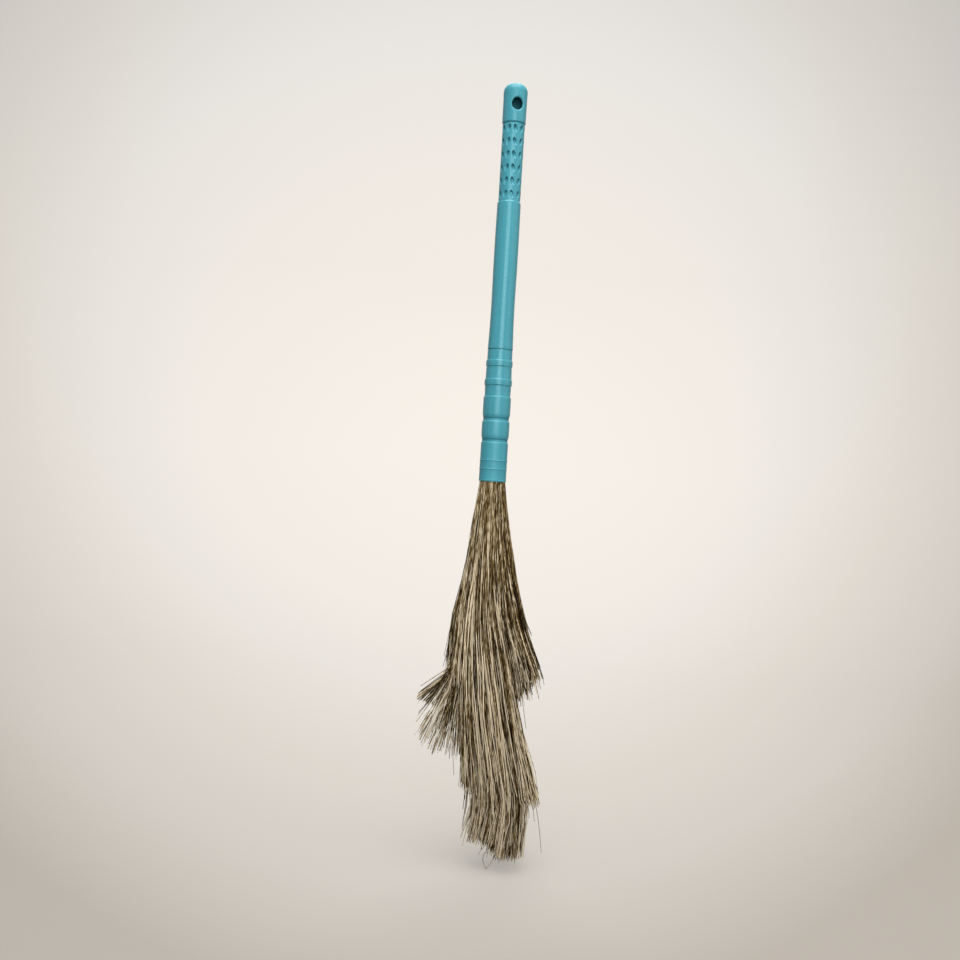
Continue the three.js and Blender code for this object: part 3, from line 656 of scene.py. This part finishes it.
def tail_tips(share, deep, chance):
    """The tail's tips: its sides and a part of its front end in an upper tier, the rest in a lower one."""
    count = len(share)
    likely = np.interp(np.minimum(share / LEFT_SIDE, 1 - share), *zip(*UPPER_LIKELY))
    likely += FRONT_LIKELY * smooth_step(-deep, FRONT_FROM, FRONT_TO)
    upper = chance.uniform(0, 1, count) < likely
    lower_line = LOWER_DROP + LOWER_STEP * smooth_step(share, STEP_FROM, STEP_TO)
    line = np.where(upper, UPPER_DROP + UPPER_SLOPE * share, lower_line)
    step = np.where(upper, UPPER_RAGGED, np.interp(share, *zip(*LOWER_RAGGED)))
    return line - ragged(step, TAIL_SHORTEST, chance, count), None, None


def mixed_tones(side_by_side, chance):
    """A tone for each fibre, so that each few fibres side by side have all the tones, in any order."""
    turn = np.arange(len(side_by_side))
    mixed = np.lexsort((chance.uniform(0, 1, len(turn)), turn // TONES))
    rank = np.empty(len(turn))
    rank[side_by_side[mixed]] = (turn % TONES + 0.5) / TONES
    return TONE_SPREAD * np.sign(rank - 0.5) * np.abs(2 * rank - 1) ** TONE_POWER


chance, tint = np.random.default_rng(7), np.random.default_rng(5)
spiral = np.arange(FIBRE_COUNT)
reach = np.sqrt((spiral + 0.5) / FIBRE_COUNT)
bearing = spiral * math.pi * (3 - math.sqrt(5))
u_all = reach * np.cos(bearing) + chance.normal(0, PLACE_SCATTER, FIBRE_COUNT)
v_all = reach * np.sin(bearing) + chance.normal(0, PLACE_SCATTER, FIBRE_COUNT)
column, row = hank_place(u_all, v_all)
in_tail = (column >= LEFT_CUT) & (column <= RIGHT_CUT)
# Each hank's fibres, its columns, its course and tips, how far its locks draw in, its painted shade from left
# to right, darker where it lies in shadow, and how much lighter its tips are
TAIL = (LEFT_CUT, RIGHT_CUT, TAIL_COURSE, tail_tips, 0.14, (0.0, -0.08), 0.0)
HANKS = {
    "left_hank": (column < LEFT_CUT, -1, LEFT_CUT, LEFT_COURSE, left_tips,
                  0.1, (-0.16, -0.16, -0.1, -0.14, -0.3), 0.42),
    "right_hank": (column > RIGHT_CUT, RIGHT_CUT, 1, RIGHT_COURSE, right_tips,
                   0.25, (-0.08, -0.16, -0.22, -0.28), 0.2),
    "front_tail_hank": (in_tail & (row < 0), *TAIL),
    "back_tail_hank": (in_tail & (row >= 0), *TAIL),
}
for name, (members, low, high, course, tips, lock_pull, hank_side_shade, tip_tone) in HANKS.items():
    u, v, deep = u_all[members], v_all[members], row[members]
    count = len(u)
    heads = chance.choice(count, count // FIBRES_PER_LOCK, replace=False)
    lock = np.argmin((u[:, None] - u[heads]) ** 2 + (v[:, None] - v[heads]) ** 2, axis=1)

    # Where each fibre ends, and its points' drops below the mouth
    share = (column[members] - low) / (high - low)
    tip_drop, tip_across, bend_from = tips(share, deep, chance)
    tip_drop = tip_drop - LOCK_ENDS * np.abs(chance.normal(0, 1, len(heads)))[lock]
    tip_drop *= 1 + FRONT_LIFT * np.minimum(deep, 0)
    root = BUNDLE[0][0]
    drop = root + (tip_drop[:, None] - root) * np.linspace(0, 1, FIBRE_POINTS) ** POINT_SPACING

    # Its place in the bundle, and further down in its own hank
    pull = lock_pull * smooth_step(drop, PULL_FROM, PULL_TO)
    u_now = u[:, None] + pull * (u[heads][lock] - u)[:, None]
    v_now = v[:, None] + pull * (v[heads][lock] - v)[:, None]
    column_now, row_now = hank_place(u_now, v_now)
    sway = LOCK_SWAY * chance.normal(0, 1, len(heads))[lock]
    swayed = (column_now - low) / (high - low) + sway[:, None] * smooth_step(drop, SWAY_FROM, SWAY_TO)
    share_now = np.clip(swayed, SIDE_MARGIN, 1 - SIDE_MARGIN)
    parted = smooth_step(drop, PART_FROM, PART_TO)
    across, depth = on_course(BUNDLE, drop, (u_now + 1) / 2, v_now)
    own_across, own_depth = on_course(course, drop, share_now, row_now)
    low_across, low_depth = on_course(LOWER_COURSE, drop, share_now, row_now)
    reaches_low = (tip_drop > LOWER_REACH)[:, None]
    across += parted * (np.where(reaches_low, low_across, own_across) - across)
    depth += parted * (np.where(reaches_low, low_depth, own_depth) - depth)
    if tip_across is not None:
        bend = np.clip((drop - bend_from[:, None]) / (tip_drop - bend_from)[:, None], 0, 1) ** BEND_POWER
        across += bend * np.nan_to_num(tip_across - across[:, -1])[:, None]

    # Its own drift, wave and kinks
    loose = LOOSE_AT_MOUTH + LOOSE_GAIN * np.clip(drop, 0, None) / LOOSE_DROP
    for offset in (across, depth):
        wave_start = chance.uniform(0, math.tau, (count, 1))
        wave = wave_start + math.tau * drop / chance.uniform(SHORT_WAVE, LONG_WAVE, (count, 1))
        drift = DRIFT * chance.normal(0, 1, (count, 1)) * drop / DRIFT_DROP
        offset += loose * (drift + np.sin(wave) + KINK * chance.normal(0, 1, drop.shape))
    thick = FIBRE_RADIUS * (1 + GIRTH_SPREAD * chance.normal(0, 1, count)).clip(GIRTH_LEAST, GIRTH_MOST)
    taper = np.interp(np.linspace(0, 1, FIBRE_POINTS), *zip(*FIBRE_TAPER))

    # Its tones: painted shade across the hank and at the bundle's edges, and random tones mixed among its
    # neighbours near its root and near its tip
    lock_tone = LOCK_TONE * chance.normal(0, 1, len(heads))[lock]
    lock_tone_and_side_shade = lock_tone + np.interp(share, np.linspace(0, 1, len(hank_side_shade)), hank_side_shade)
    lock_tone_and_side_shade -= PAINTED_EDGE_SHADE * smooth_step(np.abs(u), EDGE_FROM, 1)
    layer = np.floor(reach[members] * FIBRE_LAYERS)
    near_root = np.lexsort((across[:, FIBRE_POINTS // 3], deep > 0, layer))
    near_tip = np.lexsort((across[:, FIBRE_POINTS * 3 // 4], deep > 0, layer))
    root_tones = lock_tone_and_side_shade + mixed_tones(near_root, chance)
    tip_tones = lock_tone_and_side_shade + mixed_tones(near_tip, tint) + tip_tone

    paths = set_on_handle(across, depth, drop)
    piece = fibre_piece("fibre_" + name, paths, thick[:, None] * taper, root_tones, tip_tones)
    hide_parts(name)


# Stray fibres: finer hairs that have worked loose, at the hanks' edges and curled under the tail's worn end.
# Each is rooted among the fibres and drawn at one depth through a few places (across, drop below the
# mouth), and shorter loose hairs stand a little off the bundle and the tail all round.
STRAYS = [
    (-3, [(-34, 158), (-38, 178), (-43, 206), (-48.5, 240)]),
    (2, [(-33, 150), (-37, 175), (-43, 215), (-46, 244)]),
    (1, [(54, 188), (66, 214), (77, 240), (82.5, 257)]),
    (3, [(46, 235), (52, 262), (58, 290), (62.5, 315)]),
    (6, [(42, 240), (48, 270), (52, 300), (58, 326)]),
    (-4, [(-34, 270), (-36, 300), (-30, 345), (-26.5, 377)]),
    (-14, [(65, 360), (76, 395), (84, 425), (90, 467)]),
    (4, [(64, 352), (72, 375), (81, 398), (86, 411)]),
    (-12, [(-8, 370), (-8, 400), (-12, 432), (-13, 444), (-9, 443)]),
    (-6, [(-9, 372), (-9, 398), (-10, 425), (-11, 442)]),
    (-24, [(18, 445), (19, 458), (13, 463), (10, 470)]),
    (-27, [(24, 450), (25, 459), (16, 466), (15, 478), (21, 487)]),
    (-20, [(27, 450), (29, 462), (22, 468), (17, 470)]),
    (-23, [(30, 470), (27, 480), (21, 487)]),
    (-16, [(24, 455), (22, 466), (21, 476)]),
]
STRAY_POINTS, STRAY_RADIUS, STRAY_TAPER = 12, 0.4, 0.6
STRAY_DARKEST, STRAY_LIGHTEST = -0.5, -0.1
LOOSE_HAIRS, BUNDLE_HAIRS, TAIL_HAIRS = 90, (BUNDLE, 120, 235), (TAIL_COURSE, 290, 435)
HAIR_ROOM, HAIR_SHORTEST, HAIR_LONGEST = 40, 30, 80
HAIR_ROOT, HAIR_LEAST_LIFT, HAIR_MOST_LIFT = -1, 0.5, 4.5


def drawn_through(places, depth):
    """Points along a smooth line through the places, at a depth."""
    known = np.linspace(0, 1, len(places))
    wanted = np.linspace(0, 1, STRAY_POINTS)
    across, drop = (np.interp(wanted, known, values) for values in np.array(places, dtype=float).T)
    for line in (across, drop, across, drop):
        line[1:-1] = (line[:-2] + 2 * line[1:-1] + line[2:]) / 4
    return set_on_handle(across, np.full(STRAY_POINTS, depth), drop)


strays = [drawn_through(places, depth) for depth, places in STRAYS]
for _ in range(LOOSE_HAIRS):
    course, first, last = BUNDLE_HAIRS if chance.uniform() < 0.5 else TAIL_HAIRS
    start = chance.uniform(first, last - HAIR_ROOM)
    turn = chance.uniform(0, math.tau)
    end = min(start + chance.uniform(HAIR_SHORTEST, HAIR_LONGEST), last)
    drop = np.linspace(start, end, STRAY_POINTS)
    across, depth = on_course(course, drop, 0.5 + 0.5 * math.cos(turn), math.sin(turn))
    lift = np.linspace(HAIR_ROOT, chance.uniform(HAIR_LEAST_LIFT, HAIR_MOST_LIFT), STRAY_POINTS)
    strays.append(set_on_handle(across + lift * math.cos(turn), depth + lift * math.sin(turn), drop))
thin = np.linspace(STRAY_RADIUS, STRAY_RADIUS * STRAY_TAPER, STRAY_POINTS)
stray_tones = chance.uniform(STRAY_DARKEST, STRAY_LIGHTEST, len(strays))
fibre_piece("stray_fibres", strays, [thin] * len(strays), stray_tones, stray_tones)


# Floor and backdrop: one wide sheet of pale matt paper that runs under the broom and sweeps up behind it.
# To the camera and in reflections it glows with a painted pool of light, brightest behind the broom and
# dimmer towards the corners.
FLOOR_GAP = 0.003
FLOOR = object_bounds()[0].z - FLOOR_GAP
AZIMUTH = math.radians(-12.5)
BACKWARDS = Vector((-math.sin(AZIMUTH), math.cos(AZIMUTH), 0))
RIGHTWARDS = Vector((math.cos(AZIMUTH), math.sin(AZIMUTH), 0))
UPWARDS = Vector((0, 0, 1))
WALL_BEHIND, SHEET_AHEAD, SHEET_WIDTH, SHEET_HEIGHT = 3.0, 4.0, 14.0, 6.0
SWEEP_RADIUS, SWEEP_STEPS = 1.6, 32
# The painted pool of light spreads from this point at the camera's place, along this axis
POOL_ORIGIN = BACKWARDS * -1.37 + UPWARDS * -0.48
POOL_AXIS = (BACKWARDS - RIGHTWARDS * 0.025 + UPWARDS * 0.128).normalized()
POOL_OF_LIGHT = [
    (0, 0.84, 0.785, 0.725),
    (0.18, 0.80, 0.765, 0.715),
    (0.28, 0.76, 0.73, 0.685),
    (0.45, 0.67, 0.635, 0.58),
    (0.67, 0.56, 0.53, 0.485),
    (0.95, 0.34, 0.30, 0.25),
]
COOLER_UP_WALL = [(0, 0.985, 0.985, 0.985), (0.5, 1.025, 1.03, 1.035), (1, 1, 1.02, 1.045)]
sheet = bmesh.new()
wall_foot = BACKWARDS * WALL_BEHIND
side_line = [-BACKWARDS * SHEET_AHEAD, wall_foot, wall_foot + UPWARDS * SHEET_HEIGHT]
line = [sheet.verts.new(place + UPWARDS * FLOOR - RIGHTWARDS * SHEET_WIDTH / 2) for place in side_line]
for a, b in zip(line, line[1:]):
    sheet.edges.new((a, b))
bmesh.ops.bevel(sheet, geom=[line[1]], affect="VERTICES", offset=SWEEP_RADIUS, offset_type="OFFSET",
                segments=SWEEP_STEPS, profile=0.5, material=-1)
swept = bmesh.ops.extrude_edge_only(sheet, edges=sheet.edges[:])["geom"]
far_side = [part for part in swept if isinstance(part, bmesh.types.BMVert)]
bmesh.ops.translate(sheet, verts=far_side, vec=RIGHTWARDS * SHEET_WIDTH)
bmesh.ops.recalc_face_normals(sheet, faces=sheet.faces[:])
for face in sheet.faces:
    face.smooth = True
paper_mesh = bpy.data.meshes.new("paper_sweep")
sheet.to_mesh(paper_mesh)
sheet.free()
backdrop = bpy.data.objects.new("paper_sweep", paper_mesh)
bpy.context.scene.collection.objects.link(backdrop)


def seen_rays(tree):
    """1 for rays that show a surface, straight or in a reflection, and 0 for those that only light others."""
    rays = add_node(tree, "LightPath")
    straight = add_node(tree, "Math", "MAXIMUM", Value=rays.outputs["Is Camera Ray"])
    tree.links.new(rays.outputs["Is Glossy Ray"], straight.inputs[1])
    either = add_node(tree, "Math", "MAXIMUM", Value=straight.outputs["Value"])
    tree.links.new(rays.outputs["Is Transmission Ray"], either.inputs[1])
    return either.outputs["Value"]


paper, tree, matt = new_material("pale_paper")
matt.inputs["Base Color"].default_value = (0.22, 0.205, 0.188, 1)
matt.inputs["Roughness"].default_value = 0.9
matt.inputs["Specular IOR Level"].default_value = 0.1
place = add_node(tree, "TexCoord").outputs["Object"]
# The painted pool of light: brightest along its axis, fading towards the corners
from_pool_origin = add_node(tree, "VectorMath", "SUBTRACT", Vector=place)
from_pool_origin.inputs[1].default_value = POOL_ORIGIN
towards = add_node(tree, "VectorMath", "NORMALIZE", Vector=from_pool_origin.outputs["Vector"])
in_pool = add_node(tree, "VectorMath", "DOT_PRODUCT", Vector=towards.outputs["Vector"])
in_pool.inputs[1].default_value = POOL_AXIS
falling = add_node(tree, "MapRange", Value=in_pool.outputs["Value"], From_Min=1, From_Max=0.82)
glow = add_ramp(tree, falling.outputs["Result"], *POOL_OF_LIGHT)
height = add_node(tree, "SeparateXYZ", Vector=place).outputs["Z"]
up_wall = add_node(tree, "MapRange", Value=height, From_Min=-0.5, From_Max=1.4).outputs["Result"]
cooler = add_node(tree, "VectorMath", "MULTIPLY", Vector=glow)
tree.links.new(add_ramp(tree, up_wall, *COOLER_UP_WALL), cooler.inputs[1])
behind = add_node(tree, "VectorMath", "DOT_PRODUCT", Vector=place)
behind.inputs[1].default_value = BACKWARDS
# The painted glow grows stronger further behind the broom
painted_glow_strength = add_node(tree, "MapRange", Value=behind.outputs["Value"], From_Min=-0.3, From_Max=2.6,
               To_Min=0.585, To_Max=0.87)
strength = add_node(tree, "Math", "MULTIPLY", Value=seen_rays(tree))
tree.links.new(painted_glow_strength.outputs["Result"], strength.inputs[1])
tree.links.new(cooler.outputs["Vector"], matt.inputs["Emission Color"])
tree.links.new(strength.outputs["Value"], matt.inputs["Emission Strength"])
paper_mesh.materials.append(paper)


# Light: a soft warm white room and four softboxes, one above the camera, one overhead, a weak warm one
# to the right, and one high up behind the broom.
ROOM_WHITE, ROOM_LIGHTS, ROOM_SHOWS = (1.0, 0.985, 0.96, 1), 0.28, 0.72
room = bpy.data.worlds.new("soft_room")
bpy.context.scene.world = room
room.use_nodes = True
tree = room.node_tree
tree.nodes["Background"].inputs["Color"].default_value = ROOM_WHITE
room_glow = add_node(tree, "MapRange", Value=seen_rays(tree), To_Min=ROOM_LIGHTS, To_Max=ROOM_SHOWS)
tree.links.new(room_glow.outputs["Result"], tree.nodes["Background"].inputs["Strength"])


def softbox(name, aim, azimuth, elevation, distance, width, height, power, warmth=0):
    """A lamp that shines on a point, from an azimuth (degrees right of the camera) and an elevation."""
    turn, lift = math.radians(azimuth), math.radians(elevation)
    level = RIGHTWARDS * math.sin(turn) - BACKWARDS * math.cos(turn)
    towards = level * math.cos(lift) + UPWARDS * math.sin(lift)
    lamp = bpy.data.lights.new(name, "AREA")
    lamp.shape = "RECTANGLE"
    lamp.size = width
    lamp.size_y = height
    lamp.energy = power
    lamp.color = (1, 1 - warmth / 2, 1 - warmth)
    stand = bpy.data.objects.new(name, lamp)
    stand.location = UPWARDS * aim + towards * distance
    stand.rotation_euler = towards.to_track_quat("Z", "Y").to_euler()
    bpy.context.scene.collection.objects.link(stand)


softbox("key_softbox", aim=-0.45, azimuth=5, elevation=11, distance=2.4, width=1.35, height=2.0, power=38)
softbox("overhead_softbox", aim=-0.40, azimuth=2, elevation=74, distance=2.2, width=1.7, height=1.7, power=60)
softbox("side_softbox", aim=-0.40, azimuth=65, elevation=20, distance=2.2, width=1.8, height=1.8, power=7,
        warmth=0.25)
softbox("back_softbox", aim=-0.45, azimuth=180, elevation=48, distance=2.6, width=1.8, height=1.6, power=34)


# Camera: level with the socket's mouth, turned a little to the hole's left and rolled as the broom leans.
# The focal length is in pixels of the square picture, and sets how far off the camera stands.
FOCAL_PIXELS, PIXELS, MM_PER_PIXEL = 1070, 960, 1.28
LEAN = math.radians(3.46)
AIM_LEFT, AIM_ABOVE_MOUTH = 15.8, 0.5
AIM = RIGHTWARDS * -AIM_LEFT * MM + UPWARDS * (MOUTH + AIM_ABOVE_MOUTH) * MM
lens = bpy.data.cameras.new("photo_camera")
lens.sensor_width = 36
lens.lens = lens.sensor_width * FOCAL_PIXELS / PIXELS
lens.clip_start, lens.clip_end = 0.05, 60
camera = bpy.data.objects.new("photo_camera", lens)
right = RIGHTWARDS * math.cos(LEAN) + UPWARDS * math.sin(LEAN)
upward = UPWARDS * math.cos(LEAN) - RIGHTWARDS * math.sin(LEAN)
stand = AIM - BACKWARDS * FOCAL_PIXELS * MM_PER_PIXEL * MM
camera.matrix_world = Matrix.Translation(stand) @ Matrix((right, upward, -BACKWARDS)).transposed().to_4x4()
bpy.context.scene.collection.objects.link(camera)
bpy.context.scene.camera = camera
bpy.context.scene.view_settings.view_transform = "Standard"
